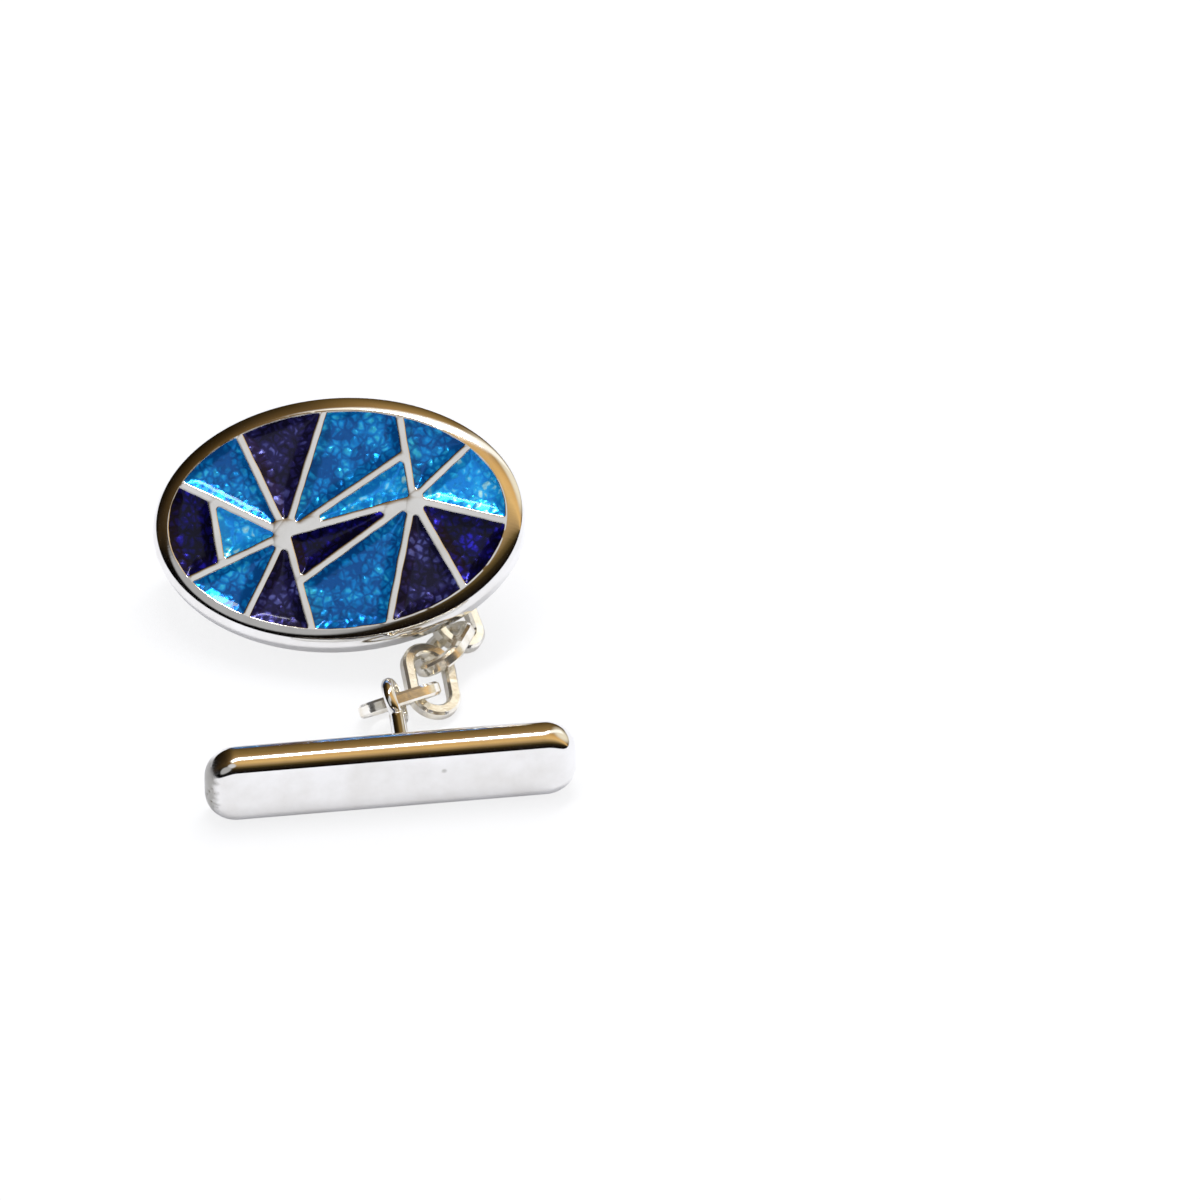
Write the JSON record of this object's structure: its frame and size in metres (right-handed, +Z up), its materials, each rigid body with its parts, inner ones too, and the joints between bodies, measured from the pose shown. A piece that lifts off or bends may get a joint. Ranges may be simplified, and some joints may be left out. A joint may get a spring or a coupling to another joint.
{
  "type": "chain-link cufflink",
  "caption": "Oval enamelled cufflink head joined by a short chain of oval links to a plain rounded bar, lying on a table.",
  "frame": {"origin": "on the table under the middle of the part's bounding box", "axes": "+Z up from the table, +X along the bar to the viewer's right, +Y from the bar towards the head"},
  "size_m": [0.0214, 0.0222, 0.0102],
  "materials": {
    "silver": "polished",
    "solder": "polished",
    "enamel_navy": "glossy",
    "enamel_violet": "glossy",
    "enamel_azure": "glossy",
    "enamel_sky": "glossy"
  },
  "bodies": {
    "head": {"head_plate": "silver", "head_eye": "silver", "head_eye_solder": "solder", "enamel_left_top": "enamel_violet", "enamel_left_upper": "enamel_azure", "enamel_left_inner": "enamel_sky", "enamel_left_edge": "enamel_navy", "enamel_left_lower": "enamel_azure", "enamel_left_bottom": "enamel_violet", "enamel_middle_upper": "enamel_sky", "enamel_middle_top": "enamel_azure", "enamel_middle_lower": "enamel_navy", "enamel_middle_bottom": "enamel_azure", "enamel_right_top": "enamel_azure", "enamel_right_upper": "enamel_sky", "enamel_right_lower": "enamel_navy", "enamel_right_bottom": "enamel_violet"},
    "link_1": {"chain_link_1": "silver"},
    "link_2": {"chain_link_2": "silver"},
    "link_3": {"chain_link_3": "silver"},
    "link_4": {"chain_link_4": "silver"},
    "link_5": {"chain_link_5": "silver"},
    "link_6": {"chain_link_6": "silver"},
    "bar": {"bar": "silver", "bar_eye": "silver", "bar_eye_solder": "solder"}
  },
  "joints": [
    {"name": "link_1_swing", "type": "hinge", "parent": "head", "child": "link_1", "pos_m": [0.0003, 0.00844, 0.0019], "axis": [-0.014, -0.5608, 0.8278], "range_deg": [-12, 12]},
    {"name": "link_2_swing", "type": "hinge", "parent": "link_1", "child": "link_2", "pos_m": [0.00231, 0.00648, 0.00155], "axis": [0.7356, 0.6438, 0.2109], "range_deg": [0, 90]},
    {"name": "link_3_swing", "type": "hinge", "parent": "link_2", "child": "link_3", "pos_m": [0.00416, 0.00436, 0.00139], "axis": [0.2296, -0.1491, 0.9618], "range_deg": [0, 90]},
    {"name": "link_4_swing", "type": "hinge", "parent": "link_3", "child": "link_4", "pos_m": [0.00427, 0.0017, 0.00106], "axis": [0.8258, -0.3728, -0.4233], "range_deg": [-12, 16]},
    {"name": "link_5_swing", "type": "hinge", "parent": "link_4", "child": "link_5", "pos_m": [0.00323, -0.00073, 0.00133], "axis": [0.6744, -0.4248, 0.6039], "range_deg": [-12, 20]},
    {"name": "link_6_swing", "type": "hinge", "parent": "link_5", "child": "link_6", "pos_m": [0.00251, -0.00259, 0.00123], "axis": [0.3142, -0.898, -0.308], "range_deg": [-50, 90]},
    {"name": "bar_swing", "type": "hinge", "parent": "link_6", "child": "bar", "pos_m": [0.00157, -0.00388, 0.00204], "axis": [-0.9026, -0.4305, 0.0035], "range_deg": [-95, 100]}
  ]
}
